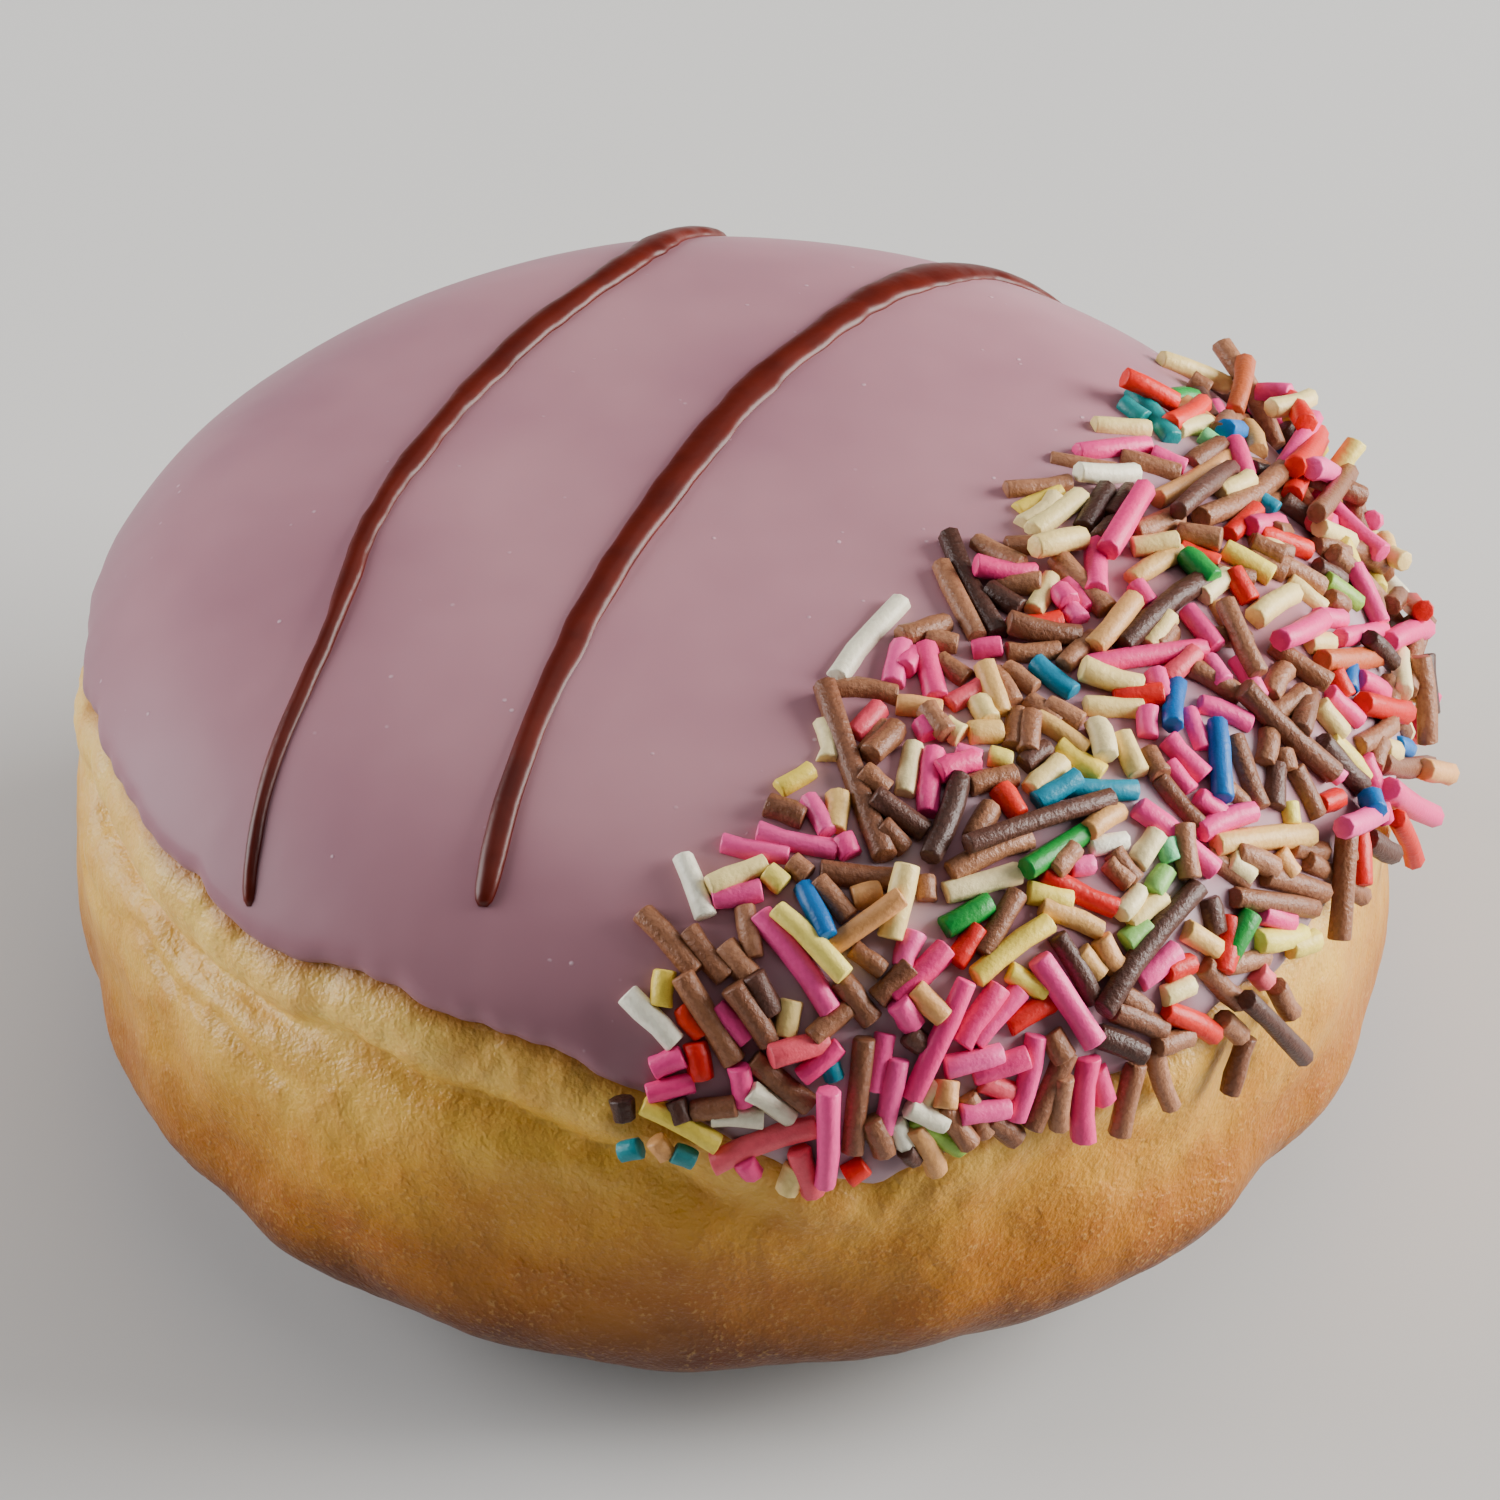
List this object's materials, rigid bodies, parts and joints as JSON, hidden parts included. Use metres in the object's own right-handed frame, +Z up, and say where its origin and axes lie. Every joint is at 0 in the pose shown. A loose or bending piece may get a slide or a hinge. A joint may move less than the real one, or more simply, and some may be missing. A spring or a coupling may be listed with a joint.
{
  "type": "filled doughnut",
  "caption": "Round filled doughnut: a fried bun with a cap of pink icing, piped chocolate lines, and sugar sprinkles over one side.",
  "frame": {"origin": "on the surface that the doughnut stands on, under the middle of the bun", "axes": "+Z up. -Y is the front, towards the viewer. +X is to the viewer's right, the sprinkled side."},
  "size_m": [0.0933, 0.0922, 0.048],
  "materials": {
    "dough": "fried dough, satin, pale gold under the icing and brown below",
    "icing": "set sugar icing, semi-gloss mauve pink, with chocolate lines and mixed sprinkles",
    "chocolate": "set dark chocolate, glossy",
    "sprinkle_brown": "milk and dark chocolate sprinkles, rough",
    "sprinkle_pink": "pink sugar sprinkles, satin",
    "sprinkle_cream": "cream, beige and white sugar sprinkles, satin",
    "sprinkle_yellow": "yellow sugar sprinkles, satin",
    "sprinkle_red": "red sugar sprinkles, satin",
    "sprinkle_green": "green sugar sprinkles, satin",
    "sprinkle_blue": "blue and turquoise sugar sprinkles, satin"
  },
  "bodies": {
    "root": {"dough": "dough", "icing": "icing"}
  },
  "joints": []
}
